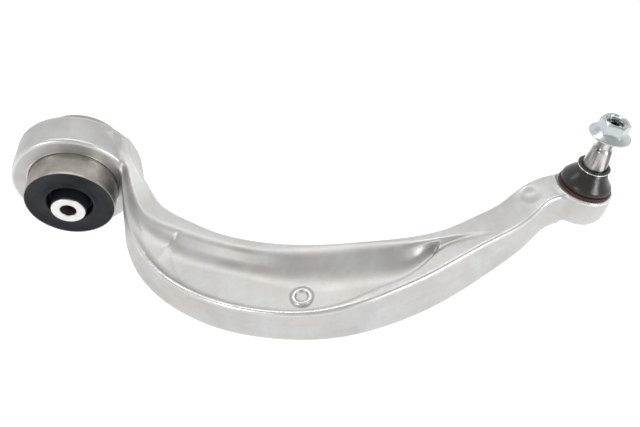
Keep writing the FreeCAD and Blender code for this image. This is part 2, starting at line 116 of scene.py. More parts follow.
# Stations of the forged blade: where its middle is in plan, how far it reaches to the
# inner side, to the outer side at the top and at the foot, how high its inner and its
# outer rim stand, and where its foot is.
Station = namedtuple("Station", "x y inner outer outer_foot top rim foot")
BLADE = [
    Station(41, 10, 8, 5, 6, 25, 31, -24),
    Station(46, -13, 9.5, 4, 7.5, 21, 17, -20),
    Station(54, -39, 14, 8.7, 13.5, 15.5, 9.5, -17),
    Station(62, -61, 18.5, 10.7, 18, 14, 9, -16),
    Station(76, -85, 27, 14.1, 21.5, 14, 10, -16.5),
    Station(98, -106, 31, 19.5, 24.5, 14, 11.3, -16.5),
    Station(130, -121, 31, 26, 29.5, 14, 12.8, -16.5),
    Station(165, -130, 31, 29, 31, 14, 14, -16.5),
    Station(200, -133, 30.5, 27.5, 30.5, 14, 14, -17),
    Station(235, -128, 25.5, 22.5, 28, 14.5, 14.5, -18),
    Station(266, -119, 17.5, 18.5, 24.5, 15, 15, -18.5),
    Station(292, -108, 12, 15.5, 21, 15, 15, -18.5),
    Station(315, -96, 10.5, 15.5, 19, 14.5, 14.5, -17.5),
    Station(334, -86, 11, 14.5, 16.5, 13.5, 13.5, -16),
    Station(350, -75, 12, 13, 14.5, 13.8, 13.8, -14.5),
    Station(368, -69, 13.5, 10.5, 12, 16, 16, -13.5),
    Station(388, -67, 13, 13, 13, 13, 13, -12),
]

# The pockets, by distance along the blade: how wide the inner and outer rims are, how
# far the inner wall runs out as it goes down to the floor, and the floor's height.
Pocket = namedtuple("Pocket", "at inner_land run outer_land floor")
TOP_POCKET = [
    Pocket(0, 13.5, 6, 1.0, 12),
    Pocket(40, 15.3, 8, 1.0, 9.5),
    Pocket(60, 17.0, 9.0, 1.0, 8),
    Pocket(76, 15.8, 9.3, 1.2, 7),
    Pocket(98, 13.8, 9.2, 1.8, 6),
    Pocket(128, 10.4, 8.7, 3.0, 5),
    Pocket(160, 9.5, 7.0, 3.5, 5),
    Pocket(200, 9.1, 9.5, 3.6, 5),
    Pocket(237, 7.5, 14.5, 4.3, 5),
    Pocket(268, 6.8, 13.8, 7.2, 5),
    Pocket(300, 7.8, 8.0, 9.0, 5),
    Pocket(318, 8.6, -2.0, 13.6, 5),
    Pocket(338, 11.5, -3.5, 11.6, 5),
    Pocket(354, 17.5, -3.5, 7.5, 5),
    Pocket(440, 17.5, -3.5, 7.5, 5),
]
FOOT_POCKET = [
    Pocket(0, 8, 5, 5, -9),
    Pocket(98, 7, 7, 6, -9.5),
    Pocket(200, 6, 9, 6, -10),
    Pocket(300, 6, 7, 8, -11),
    Pocket(440, 6, 7, 8, -11),
]


# ---------------------------------------------------------------- soft geometry
def smooth_max(a, b, width):
    """The larger of two fields, rounded off over a width where they cross."""
    over = np.maximum(width - np.abs(a - b), 0.0)
    return np.maximum(a, b) + over * over / (4 * width)


def smooth_min(a, b, width):
    """The smaller of two fields, rounded off over a width where they cross."""
    return -smooth_max(-a, -b, width)


def ramp(value, start, end):
    """0 before start, 1 after end, and a smooth step between them."""
    share = np.clip((value - start) / (end - start), 0.0, 1.0)
    return share * share * (3 - 2 * share)


class Spline:
    """A natural cubic spline through rows of values at given places."""

    def __init__(self, places, rows):
        self.places = np.array(places, float)
        self.rows = np.array(rows, float)
        count = len(self.places)
        gap = np.diff(self.places)
        system = np.eye(count)
        right = np.zeros_like(self.rows)
        for i in range(1, count - 1):
            system[i, i - 1:i + 2] = gap[i - 1], 2 * (gap[i - 1] + gap[i]), gap[i]
            after = (self.rows[i + 1] - self.rows[i]) / gap[i]
            before = (self.rows[i] - self.rows[i - 1]) / gap[i - 1]
            right[i] = 6 * (after - before)
        self.bends = np.linalg.solve(system, right)

    def at(self, place, order=0):
        """Every column's value, or its first or second derivative, at each place."""
        last = len(self.places) - 2
        i = np.clip(np.searchsorted(self.places, place) - 1, 0, last)
        gap = (self.places[i + 1] - self.places[i])[..., None]
        a = (self.places[i + 1] - place)[..., None] / gap
        b = 1 - a
        if order == 0:
            bend = ((a ** 3 - a) * self.bends[i] + (b ** 3 - b) * self.bends[i + 1]) * gap * gap / 6
            return a * self.rows[i] + b * self.rows[i + 1] + bend
        if order == 1:
            bend = ((3 * b * b - 1) * self.bends[i + 1] - (3 * a * a - 1) * self.bends[i]) * gap / 6
            return (self.rows[i + 1] - self.rows[i]) / gap + bend
        return a * self.bends[i] + b * self.bends[i + 1]


LENGTHS = np.concatenate([[0.0], np.cumsum([
    math.hypot(b.x - a.x, b.y - a.y) for a, b in zip(BLADE, BLADE[1:])])])
BLADE_END = float(LENGTHS[-1])
middle = Spline(LENGTHS, [station[:2] for station in BLADE])
sizes = Spline(LENGTHS, [station[2:] for station in BLADE])
top_pocket = Spline([p.at for p in TOP_POCKET], [p[1:] for p in TOP_POCKET])
foot_pocket = Spline([p.at for p in FOOT_POCKET], [p[1:] for p in FOOT_POCKET])


def nearest_mark(points):
    """Roughly where points are along the blade: the nearest of a row of marks."""
    coarse = np.linspace(0, BLADE_END, 90)
    marks = middle.at(coarse)
    along = np.empty(len(points))
    for start in range(0, len(points), NEAREST_CHUNK):
        chunk = slice(start, start + NEAREST_CHUNK)
        part = points[chunk]
        away = (part[:, :1] - marks[:, 0]) ** 2 + (part[:, 1:] - marks[:, 1]) ** 2
        along[chunk] = coarse[away.argmin(axis=1)]
    return along


def locate(x, y, guess=None):
    """Where points are along the blade, how far to its inner side, and how far past its ends."""
    points = np.stack([np.ravel(x), np.ravel(y)], axis=-1)
    along = nearest_mark(points) if guess is None else guess
    for _ in range(5 if guess is None else 2):
        offset = points - middle.at(along)
        slope = middle.at(along, 1)
        bend = middle.at(along, 2)
        drop = (slope ** 2).sum(axis=1) - (offset * bend).sum(axis=1)
        step = (offset * slope).sum(axis=1) / np.maximum(drop, 0.25)
        along = np.clip(along + np.clip(step, -4, 4), 0, BLADE_END)
    offset = points - middle.at(along)
    slope = middle.at(along, 1)
    slope /= np.linalg.norm(slope, axis=1)[:, None]
    across = slope[:, 0] * offset[:, 1] - slope[:, 1] * offset[:, 0]
    ahead = (offset * slope).sum(axis=1)
    past = np.where(along > BLADE_END / 2, ahead, -ahead)
    past = np.where((along > 0) & (along < BLADE_END), -20.0, past)
    return [value.reshape(np.shape(x)) for value in (along, across, past)]


def pocket_field(across, height, inner_rim, outer_rim, slope, bottom):
    """A pocket: between a long inner wall and a steep outer wall, above its floor."""
    far = (across - inner_rim + height * slope) / np.sqrt(1 + slope * slope)
    near = (outer_rim + 0.28 * height - across) / 1.04
    return smooth_max(smooth_max(far, near, 3.0), bottom, 4.0)


def blade_field(z, along, across, past):
    """The blade with its pockets, below zero inside the metal."""
    inner, outer, outer_foot, top, rim, foot = np.moveaxis(sizes.at(along), -1, 0)
    share = np.clip((z - foot) / (rim - foot), -0.2, 1.2)
    draft = 0.045 * np.abs(z)
    seam = 0.35 * np.exp(-(z / 1.5) ** 2)
    reach = outer_foot + (outer - outer_foot) * share + seam
    tilt = ramp((inner - across) / (inner + outer), 0.5, 0.95)
    ceiling = top + (rim - top) * tilt
    body = smooth_max(z - ceiling, foot - z, 3.0)
    sides = smooth_max(across - inner + draft - 0.4 - seam, -across - reach, 3.0)
    body = smooth_max(body, sides, 3.0)
    body = smooth_max(body, past, 2.0)

    land, run, outer_land, floor = np.moveaxis(top_pocket.at(along), -1, 0)
    run = run + 5.0 * ramp(along, 110, 116)
    facet = FACET_AT + 0.3 * (4.2 - across)
    width = 2.5 + 1.2 * np.maximum(4.2 - across, 0)
    floor = floor + FACET_RISE * (1 - np.clip((along - facet) / width, 0, 1))
    end = POCKET_END + POCKET_END_SKEW * (across + 8)
    rise = POCKET_END_RISE * ramp(along, end, end + POCKET_END_LENGTH)
    floor = floor + rise + 0.09 * np.maximum(along - 320, 0)
    slope = np.clip(run / np.maximum(ceiling - floor, 3.0), 0.3, 3.0)
    hollow = pocket_field(across, ceiling - z, inner - land, outer_land - outer, slope, floor - z)
    body = smooth_max(body, -hollow, 2.0)

    land, run, outer_land, floor = np.moveaxis(foot_pocket.at(along), -1, 0)
    floor = floor - 10 * (1 - ramp(along, 62, 104)) - 10 * ramp(along, 268, 322)
    under = pocket_field(across, z - foot, inner - land, outer_land - outer_foot, run / 7, z - floor)
    return smooth_max(body, -under, 2.6)


def stud_frame():
    """The ball's centre and the stud's frame as two side axes and its own axis."""
    joint = next(j for j in frame["joints"] if j["name"] == "ball_azimuth")
    axis = Vector(joint["axis"]).normalized()
    side = Vector((0, 1, 0)).cross(axis).normalized()
    return Vector(joint["pos_m"]) / MM, side, axis.cross(side), axis


BALL, SIDE, FORE, STUD = stud_frame()


def arm_field(points, place):
    """The whole forging: below zero inside the metal. Points are in millimetres, with
    their places along and across the blade."""
    x, y, z = points[..., 0], points[..., 1], points[..., 2]
    field = blade_field(z, *place)

    ring = np.hypot(x, z)
    draft = EYE_DRAFT * np.abs(z) / EYE_RADIUS
    seam = 0.3 * np.exp(-(z / 1.5) ** 2)
    faces = np.maximum(-y - EYE_FRONT, y - EYE_BACK) + draft - seam
    eye = smooth_max(ring - EYE_RADIUS, faces, 3.2)
    field = smooth_min(field, eye, EYE_BLEND)

    offset = points - np.array(BALL)
    height = offset @ np.array(STUD)
    radius = np.sqrt(np.maximum((offset ** 2).sum(axis=-1) - height ** 2, 0))
    skirt = (radius - HOUSING_RADIUS + HOUSING_DRAW
             - (height - HOUSING_FOOT) * HOUSING_DRAW / HOUSING_CHAMFER) * 0.7
    housing = smooth_max(smooth_max(radius - HOUSING_RADIUS, height - HOUSING_TOP, 2.0), skirt, 4.0)
    housing = smooth_max(housing, HOUSING_FOOT - height, 1.6)
    field = smooth_min(field, housing, HOUSING_BLEND)

    boss = np.hypot(x - BOSS[0], y - BOSS[1])
    post = smooth_max(smooth_max(boss - BOSS_RADIUS, z - BOSS_TOP, 2.0), -6 - z, 1.0)
    field = smooth_min(field, post, 2.2)
    well = smooth_max(boss - BOSS_BORE, BOSS_TOP - BOSS_WELL - z, 1.2)
    field = smooth_max(field, -well, 1.4)
    dimple = np.sqrt((x - DIMPLE[0]) ** 2 + (y - DIMPLE[1]) ** 2 + (z - DIMPLE[2]) ** 2)
    field = smooth_max(field, DIMPLE_BALL - dimple, 1.2)

    field = smooth_max(field, CAN_RADIUS - ring, 1.5)
    face = smooth_max(radius - HOUSING_RADIUS - 1.0, HOUSING_TOP - height, 2.0)
    field = smooth_max(field, -face, 0.8)
    socket = smooth_max(radius - SOCKET_BORE, height - SOCKET_TOP, 0.5)
    recess = smooth_max(radius - COVER_RADIUS, height - COVER_TOP, 0.5)
    flare = SOCKET_MOUTH + (SOCKET_MOUTH_TOP - SOCKET_MOUTH) * np.clip(
        (height - SOCKET_TOP) / (HOUSING_TOP - SOCKET_TOP), 0, 1)
    mouth = smooth_max(radius - flare, -height, 0.5)
    for cavity in (socket, recess, mouth):
        field = smooth_max(field, -cavity, 0.6)
    return field


def gradient(points, along, step=0.04):
    """The forging's field and its slope at each point, and where the points are along the blade."""
    place = locate(points[:, 0], points[:, 1], along)
    value = arm_field(points, place)
    slope = np.empty_like(points)
    for axis in range(3):
        moved = points.copy()
        moved[:, axis] += step
        beside = place if axis == 2 else locate(moved[:, 0], moved[:, 1], place[0])
        slope[:, axis] = (arm_field(moved, beside) - value) / step
    return value, slope, place[0]


def block_values(axes):
    """The forging's field on the grid of three rows of places."""
    flat = locate(*np.meshgrid(axes[0], axes[1], indexing="ij"))
    points = np.stack(np.meshgrid(*axes, indexing="ij"), axis=-1)
    place = [np.repeat(value[..., None], len(axes[2]), axis=2) for value in flat]
    return arm_field(points, place)


def grid_values(axes, block=8):
    """The field on a fine grid: worked out near the surface, and only its sign elsewhere."""
    rough = block_values([axis[::block] for axis in axes])
    values = np.repeat(np.repeat(np.repeat(rough, block, 0), block, 1), block, 2)
    values = values[:len(axes[0]), :len(axes[1]), :len(axes[2])].astype(np.float32)
    reach = 1.6 * block * (axes[0][1] - axes[0][0])
    near = np.abs(rough) < reach
    for axis in range(3):
        near = near | np.roll(near, 1, axis) | np.roll(near, -1, axis)
    for i, j in np.argwhere(near.any(axis=2)):
        rows = np.flatnonzero(near[i, j])
        spans = [slice(i * block, (i + 1) * block), slice(j * block, (j + 1) * block),
                 slice(rows[0] * block, (rows[-1] + 1) * block)]
        values[tuple(spans)] = block_values([axis[span] for axis, span in zip(axes, spans)])
    return values


def cell_points(values, cells, corners):
    """For each cell, the mean of the places where its edges cross the surface."""
    total = np.zeros((len(cells), 3))
    crossings = np.zeros(len(cells))
    for a in corners:
        for axis in range(3):
            if a[axis]:
                continue
            b = tuple(1 if n == axis else v for n, v in enumerate(a))
            va = values[tuple((cells + a).T)]
            vb = values[tuple((cells + b).T)]
            hit = (va < 0) != (vb < 0)
            share = np.where(hit, va / np.where(hit, va - vb, 1), 0)
            place = np.array(a, float) + share[:, None] * (np.array(b) - np.array(a))
            total += place * hit[:, None]
            crossings += hit
    return cells + total / crossings[:, None]


def cell_quads(inside, index):
    """A quad round every grid edge that crosses the surface, facing outwards."""
    quads = []
    for axis in range(3):
        one, two = [n for n in range(3) if n != axis]
        first = [slice(1, -1)] * 3
        first[axis] = slice(0, -1)
        second = list(first)
        second[axis] = slice(1, None)
        change = inside[tuple(first)] != inside[tuple(second)]
        edges = np.argwhere(change)
        if not len(edges):
            continue
        base = edges.copy()
        base[:, one] += 1
        base[:, two] += 1
        ring = []
        for back_one, back_two in ((1, 1), (0, 1), (0, 0), (1, 0)):
            cell = base.copy()
            cell[:, one] -= back_one
            cell[:, two] -= back_two
            ring.append(index[tuple(cell.T)])
        quad = np.stack(ring, axis=1)
        flip = inside[tuple(base.T)] == (axis == 1)
        quad[flip] = quad[flip][:, ::-1]
        quads.append(quad)
    return np.concatenate(quads)


def surface_net(values, low, step):
    """Points and quads of the surface where gridded values change sign."""
    inside = values < 0
    corners = [(i, j, k) for i in (0, 1) for j in (0, 1) for k in (0, 1)]
    size = [n - 1 for n in values.shape]
    count = np.zeros(size, np.int8)
    for i, j, k in corners:
        count += inside[i:i + size[0], j:j + size[1], k:k + size[2]]
    cells = np.argwhere((count > 0) & (count < 8))
    index = -np.ones(size, np.int64)
    index[tuple(cells.T)] = np.arange(len(cells))
    points = np.array(low) + cell_points(values, cells, corners) * step
    return points, cell_quads(inside, index)


def settle(points, rounds, along=None):
    """Move points onto the forging's surface; also gives where they are along the blade."""
    for _ in range(rounds):
        value, slope, along = gradient(points, along)
        step = value / np.maximum((slope ** 2).sum(axis=1), 0.05)
        points = points - np.clip(step, -0.8, 0.8)[:, None] * slope
    return points, along


def relax(points, quads, share):
    """Slide each point part of the way to the middle of its neighbours."""
    total = np.zeros_like(points)
    count = np.zeros(len(points))
    for a, b in ((0, 1), (1, 2), (2, 3), (3, 0)):
        np.add.at(total, quads[:, a], points[quads[:, b]])
        np.add.at(total, quads[:, b], points[quads[:, a]])
        np.add.at(count, quads[:, a], 1)
        np.add.at(count, quads[:, b], 1)
    return points + share * (total / np.maximum(count, 1)[:, None] - points)


def forged_arm(step):
    """The forging as one smooth mesh on its field's zero surface."""
    axes = [np.arange(a, b + step, step) for a, b in zip(FORGING_LOW, FORGING_HIGH)]
    points, quads = surface_net(grid_values(axes), FORGING_LOW, step)
    points, along = settle(points, 2)
    for _ in range(2):
        points, along = settle(relax(points, quads, 0.5), 1, along)
    points, along = settle(points, 1, along)
    slope = gradient(points, along)[1]
    normals = slope / np.maximum(np.linalg.norm(slope, axis=1), 1e-6)[:, None]
    arm = mesh_piece("forged_arm", points * MM, quads)
    arm.data.normals_split_custom_set_from_vertices(normals.tolist())
    return arm


# ---------------------------------------------------------------- turned pieces
def mesh_piece(name, points, faces):
    """An object from points in metres and faces."""
    mesh = bpy.data.meshes.new(name)
    corners = faces.tolist() if isinstance(faces, np.ndarray) else faces
    mesh.from_pydata(np.asarray(points).tolist(), [], corners)
    mesh.update()
    for polygon in mesh.polygons:
        polygon.use_smooth = True
    piece = bpy.data.objects.new(name, mesh)
    bpy.context.scene.collection.objects.link(piece)
    return piece


def bush_place(radius, height, angle):
    """A point round the bush's axis."""
    return np.stack([radius * np.cos(angle), height, -radius * np.sin(angle)], axis=-1)


def stud_place(radius, height, angle):
    """A point round the stud's axis, by its height over the ball's centre."""
    across = radius * np.cos(angle)
    along = radius * np.sin(angle)
    parts = [np.multiply.outer(value, np.array(axis))
             for value, axis in ((across, SIDE), (along, FORE), (height, STUD))]
    return np.array(BALL) + parts[0] + parts[1] + parts[2]


def rounded(corners, cut=0.4, steps=4, closed=True):
    """An outline of (radius, height) with its corners rounded; a third value is a corner's own cut."""
    out = []
    count = len(corners)
    for i, corner in enumerate(corners):
        here = np.array(corner[:2], float)
        if not closed and i in (0, count - 1):
            out.append(here)
            continue
        reach = corner[2] if len(corner) > 2 else cut
        before = np.array(corners[i - 1][:2], float) - here
        after = np.array(corners[(i + 1) % count][:2], float) - here
        lengths = np.linalg.norm(before), np.linalg.norm(after)
        size = min(reach, 0.45 * lengths[0], 0.45 * lengths[1])
        if size < 0.01 or here[0] < 1e-6:
            out.append(here)
            continue
        start = here + before / lengths[0] * size
        end = here + after / lengths[1] * size
        for t in np.linspace(0, 1, steps + 1):
            out.append((1 - t) ** 2 * start + 2 * t * (1 - t) * here + t * t * end)
    return out


def lathe(name, outline, place, segments=144, closed=True, shape=None):
    """A surface turned from an outline. shape(radius, height, angle) may change the radius."""
    outline = np.array(outline, float)
    angle = np.arange(segments) * 2 * math.pi / segments
    radius = np.repeat(outline[:, :1], segments, axis=1)
    height = np.repeat(outline[:, 1:2], segments, axis=1)
    angles = np.repeat(angle[None], len(outline), axis=0)
    if shape is not None:
        radius = shape(radius, height, angles)
    points = place(radius, height, angles).reshape(-1, 3) * MM
    faces = []
    rows = len(outline)
    for i in range(rows if closed else rows - 1):
        j = (i + 1) % rows
        for k in range(segments):
            m = (k + 1) % segments
            faces.append((i * segments + k, i * segments + m, j * segments + m, j * segments + k))
    piece = mesh_piece(name, points, faces)
    clean(piece)
    return piece


def clean(piece):
    """Merge points that coincide, and turn every face outwards."""
    work = bmesh.new()
    work.from_mesh(piece.data)
    bmesh.ops.remove_doubles(work, verts=work.verts, dist=1e-6)
    bmesh.ops.holes_fill(work, edges=[e for e in work.edges if e.is_boundary], sides=0)
    bmesh.ops.recalc_face_normals(work, faces=work.faces)
    work.to_mesh(piece.data)
    work.free()


def sharpen(piece, degrees=32):
    """Keep edges above an angle crisp under smooth shading."""
    work = bmesh.new()
    work.from_mesh(piece.data)
    limit = math.radians(degrees)
    for edge in work.edges:
        edge.smooth = not (len(edge.link_faces) == 2 and edge.calc_face_angle(0) > limit)
    for face in work.faces:
        face.smooth = True
    work.to_mesh(piece.data)
    work.free()


def carve(piece, cutter):
    """Take a cutter's volume out of a piece, and drop the cutter."""
    tool = piece.modifiers.new("carve", "BOOLEAN")
    tool.operation = "DIFFERENCE"
    tool.solver = "EXACT"
    tool.object = cutter
    bpy.context.view_layer.update()
    result = bpy.data.meshes.new_from_object(piece.evaluated_get(bpy.context.evaluated_depsgraph_get()))
    piece.modifiers.remove(tool)
    piece.data = result
    bpy.data.objects.remove(cutter)


def box_mesh(name, low, high):
    """A plain box, used only to carve with."""
    corners = [(x, y, z) for x in (low[0], high[0]) for y in (low[1], high[1]) for z in (low[2], high[2])]
    faces = [(0, 1, 3, 2), (4, 6, 7, 5), (0, 4, 5, 1), (2, 3, 7, 6), (0, 2, 6, 4), (1, 5, 7, 3)]
    return mesh_piece(name, np.array(corners) * MM, faces)


def thread_wave(height, angle):
    """A 60 degree thread's form, 0 at its crest and 1 at its root, with flats at both."""
    turn = (height / THREAD_PITCH - angle / (2 * math.pi)) % 1.0
    return np.clip(np.abs(turn - 0.5) * 2 * 1.3 - 0.12, 0, 1)


# ---------------------------------------------------------------- the bush
def bush_can():
    """The pressed steel can, its ends slightly rolled in."""
    half, lip = CAN_HALF, 1.2
    outline = [(CAN_END, -half, 0.1), (CAN_RADIUS - 0.3, -half, 0.3), (CAN_RADIUS, -half + lip, 0.8),
               (CAN_RADIUS, half - lip, 0.8), (CAN_RADIUS - 0.3, half, 0.3), (CAN_END, half, 0.1),
               (CAN_BORE, half - 2.0), (CAN_BORE, -half + 2.0)]
    return lathe("bush_can", rounded(outline, 0.3), bush_place, 192)


def bush_sleeve():
    """The inner sleeve, chamfered outside and in its bore."""
    half = SLEEVE_HALF
    outline = [(SLEEVE_BORE + 0.7, -half, 0.15), (SLEEVE_RADIUS - 0.6, -half, 0.2),
               (SLEEVE_RADIUS, -half + 0.6, 0.2), (SLEEVE_RADIUS, half - 0.6, 0.2),
               (SLEEVE_RADIUS - 0.6, half, 0.2), (SLEEVE_BORE + 0.7, half, 0.15),
               (SLEEVE_BORE, half - 0.7, 0.2), (SLEEVE_BORE, -half + 0.7, 0.2)]
    return lathe("bush_sleeve", rounded(outline), bush_place, 144)


def rubber_end(sign):
    """The outline across one end of the rubber, from the sleeve out to the can."""
    face, moat, lip = RUBBER_HALF, RUBBER_HALF - MOAT_DEPTH, RUBBER_HALF + LIP_HEIGHT
    rows = [(SLEEVE_RADIUS + 0.05, RUBBER_COAT_HALF, 0.1), (RUBBER_COAT - 0.2, RUBBER_COAT_HALF, 0.3),
            (RUBBER_COAT + 0.25, moat + 1.5, 1.2), (RUBBER_COAT + 1.3, moat, 1.0),
            (LIP_INNER - 0.9, moat, 0.8), (LIP_INNER - 0.4, moat + 3.0, 1.0), (LIP_INNER + 0.3, lip, 1.1),
            (LIP_OUTER - 0.6, lip, 1.0), (LIP_OUTER + 0.9, face - 0.9, 1.0), (27.0, face - 1.0, 3.0),
            (31.8, face, 1.0), (CAN_END - 0.05, CAN_HALF - 0.25, 0.2),
            (CAN_BORE - 0.02, CAN_HALF - 2.2, 0.3),
            (CAN_BORE - 0.02, CHANNEL_HALF, 0.2),
            (CAGE_RADIUS, CHANNEL_HALF, 0.1), (CAGE_RADIUS, CAGE_HALF, 0.1), (CAGE_BORE, CAGE_HALF, 0.1)]
    return [(row[0], sign * row[1], row[2]) for row in rows]


def bush_rubber():
    """The rubber spring: end walls with lip and moat, and a chamber above and below."""
    outline = rounded(rubber_end(-1) + rubber_end(1)[::-1], 0.3, 5)
    rubber = lathe("bush_rubber", outline, bush_place, 192)
    for side in (-1, 1):
        near, far = sorted((side * CHAMBER_LEG, side * EYE_RADIUS))
        low, high = (-EYE_RADIUS, -CHAMBER_HALF, near), (EYE_RADIUS, CHAMBER_HALF, far)
        carve(rubber, box_mesh("chamber", low, high))
    sharpen(rubber, 40)
    return rubber


# ---------------------------------------------------------------- the ball joint
def stud():
    """The ball stud with its helical thread and hexagon socket."""
    neck = math.asin(NECK_RADIUS / BALL_RADIUS)
    arc = [(BALL_RADIUS * math.sin(t), -BALL_RADIUS * math.cos(t))
           for t in np.linspace(0, math.pi - neck, 40)]
    shank = [(NECK_RADIUS, SEAT_FOOT - 4, 1.5), (SEAT_RADIUS, SEAT_FOOT, 0.6),
             (SEAT_RADIUS, TAPER_FOOT, 0.2), (TAPER_TOP_RADIUS, TAPER_TOP - 0.6, 0.9),
             (UNDERCUT_RADIUS + 0.5, TAPER_TOP + 0.4, 0.7), (UNDERCUT_RADIUS, TAPER_TOP + 1.6, 0.9),
             (UNDERCUT_RADIUS, UNDERCUT_TOP, 0.3), (THREAD_RADIUS, UNDERCUT_TOP + 1.0, 0.1)]
    rows = [arc[-1]] + shank
    outline = arc[:-1] + [tuple(p) for p in rounded(rows, 0.3, 4, closed=False)]
    threaded = np.arange(UNDERCUT_TOP + 1.1, STUD_END - 0.05, THREAD_PITCH / 12)
    outline += [(THREAD_RADIUS, height) for height in threaded]
    outline += [(THREAD_RADIUS - 1.0, STUD_END), (0.0, STUD_END)]

    def cut_thread(radius, height, angle):
        """The thread's groove, which fades in at the undercut and runs out in the end chamfer."""
        fade = ramp(height, UNDERCUT_TOP + 0.8, UNDERCUT_TOP + 2.0) * (height < STUD_END - 0.02)
        cut = radius - THREAD_DEPTH * fade * thread_wave(height, angle)
        chamfer = STUD_END - height + THREAD_RADIUS - 1.0
        return np.where(height > STUD_END - 1.0, np.minimum(cut, chamfer), cut)

    piece = lathe("stud_shank", outline, stud_place, 120, closed=False, shape=cut_thread)
    corner = KEY_FLATS / math.sqrt(3)
    key = lathe("key", [(0, STUD_END - KEY_DEPTH), (corner, STUD_END - KEY_DEPTH),
                        (corner, STUD_END + 2), (0, STUD_END + 2)], stud_place, 6, closed=False)
    carve(piece, key)
    sharpen(piece, 35)
    return piece


def hexagon(angle, flats):
    """A hexagon's reach at an angle, one flat facing the front."""
    turn = (angle + math.pi / 8) % (math.pi / 3) - math.pi / 6
    return flats / 2 / np.cos(turn)


def nut():
    """The flange nut: chamfered hexagon on a conical flange, threaded inside."""
    foot, top = NUT_FOOT, NUT_FOOT + NUT_HEIGHT
    rows = [0, 0.12, 0.3, 0.7, 1.1, 1.3, 1.45, 1.7]
    rows += list(np.arange(2.0, 6.0, 0.25)) + list(np.arange(6.0, 9.6, 0.6))
    rows += list(np.arange(9.6, NUT_HEIGHT, 0.12)) + [NUT_HEIGHT]
    outline = [(1.0, foot + row) for row in rows]
    recess = 1.3
    outline += [(NUT_CROWN - 0.9, top + 0.0), (THREAD_RADIUS + 0.5, top - 0.3),
                (THREAD_RADIUS + 0.1, top - recess)]
    inner = np.arange(top - recess - 0.2, foot + 1.0, -THREAD_PITCH / 12)
    outline += [(0.5, height) for height in inner]
    outline += [(THREAD_RADIUS + 0.1, foot + 0.9), (THREAD_RADIUS + 0.9, foot)]

    def form(radius, height, angle):
        """The nut's reach: a radius of 1 stands for its outside, and 0.5 for its thread."""
        lift = height - foot
        slant = (NUT_FLANGE_TOP - NUT_FLANGE) / (NUT_FLANGE_HEIGHT - NUT_EDGE)
        flange = NUT_FLANGE + np.minimum(slant * (lift - NUT_EDGE), 0)
        flange = flange - 0.35 * (1 - np.clip(lift / 0.35, 0, 1)) ** 2 - 0.25 * ramp(lift, 1.1, NUT_EDGE)
        flange = np.where(lift < NUT_FLANGE_HEIGHT + 2.5, flange, 0)
        cone = NUT_CROWN + (NUT_HEIGHT - lift) * (NUT_CORNER - NUT_CROWN) / NUT_CHAMFER
        corners = smooth_min(hexagon(angle, NUT_FLATS), np.full_like(angle, NUT_CORNER - 0.25), 0.1)
        body = smooth_min(corners, cone, 0.15)
        outside = smooth_max(body, flange, 0.9)
        fade = ramp(height, UNDERCUT_TOP + 0.8 + THREAD_PITCH, UNDERCUT_TOP + 2.0 + THREAD_PITCH)
        wave = THREAD_RADIUS + NUT_THREAD_GAP - THREAD_DEPTH * fade * thread_wave(height, angle)
        return np.where(radius == 1.0, outside, np.where(radius == 0.5, wave, radius))

    piece = lathe("nut_body", outline, stud_place, 192, shape=form)
    sharpen(piece, 24)
    return piece


def boot():
    """The rubber bell from the housing up to the collar, as one thick skin."""
    base, groove = HOUSING_TOP, WIRE_RING - WIRE_RADIUS - 0.05
    outer = [(BAND_BORE - 0.05, base + 0.1, 0.1), (BAND_BORE - 0.05, base + BAND_HEIGHT, 0.3),
             (BAND_BORE + 0.7, base + 2.6, 0.5), (18.75, base + 3.8, 1.0), (18.2, base + 5.6, 1.6),
             (16.4, base + 8.0, 2.2), (14.3, base + 10.8, 2.6), (12.5, base + 13.2, 2.2),
             (11.5, base + 15.1, 1.2), (groove + 0.35, base + 16.2, 0.6),
             (groove, base + 16.9, 0.4), (groove, BOOT_TOP, 0.1)]
    inner = [(COLLAR_RADIUS + 0.02, BOOT_TOP, 0.1), (COLLAR_RADIUS + 0.02, BOOT_TOP - 3, 0.5),
             (11.2, BOOT_TOP - 5.4, 1.5), (14.0, base + 8.6, 2.0), (16.0, base + 5.4, 1.5),
             (16.2, base + 2.6, 0.8), (15.6, base + 0.1, 0.1)]

    def leaning(radius, height, angle):
        """The bell's belly, pushed a little to one side."""
        bulge = ramp(height, base + 2.5, base + 8) * (1 - ramp(height, base + 9, base + 15.5))
        return radius - BOOT_LEAN * bulge * np.cos(angle)

    return lathe("boot_bell", rounded(outer + inner, 0.4, 6), stud_place, 144, shape=leaning)


def boot_band():
    """The dark red band round the boot's foot, a rounded ring."""
    base, top = HOUSING_TOP + 0.02, HOUSING_TOP + BAND_HEIGHT
    outline = [(BAND_BORE, base, 0.1), (BAND_RADIUS - 0.1, base, 0.3), (BAND_RADIUS, base + 1.1, 0.6),
               (BAND_RADIUS - 0.8, top - 0.1, 0.7), (BAND_BORE, top, 0.2)]
    return lathe("boot_band", rounded(outline, 0.3, 5), stud_place, 144)


def collar():
    """The flanged collar that the boot's top grips."""
    outline = [(COLLAR_BORE, COLLAR_FOOT, 0.2), (COLLAR_RADIUS, COLLAR_FOOT, 0.3),
               (COLLAR_RADIUS, COLLAR_FLANGE_FOOT, 0.25), (COLLAR_FLANGE, COLLAR_FLANGE_FOOT, 0.3),
               (COLLAR_FLANGE, COLLAR_TOP - 0.15, 0.35), (COLLAR_FLANGE - 1.0, COLLAR_TOP, 0.4),
               (COLLAR_BORE + 0.5, COLLAR_TOP, 0.2), (COLLAR_BORE, COLLAR_TOP - 0.5, 0.2)]
    return lathe("collar_ring", rounded(outline, 0.3, 4), stud_place, 144)


def wire_ring():
    """The spring wire that clamps the boot's top on the collar."""
    outline = [(WIRE_RING + WIRE_RADIUS * math.cos(t), WIRE_HEIGHT + WIRE_RADIUS * math.sin(t))
               for t in np.linspace(0, 2 * math.pi, 16, endpoint=False)]
    return lathe("boot_wire", outline, stud_place, 144)


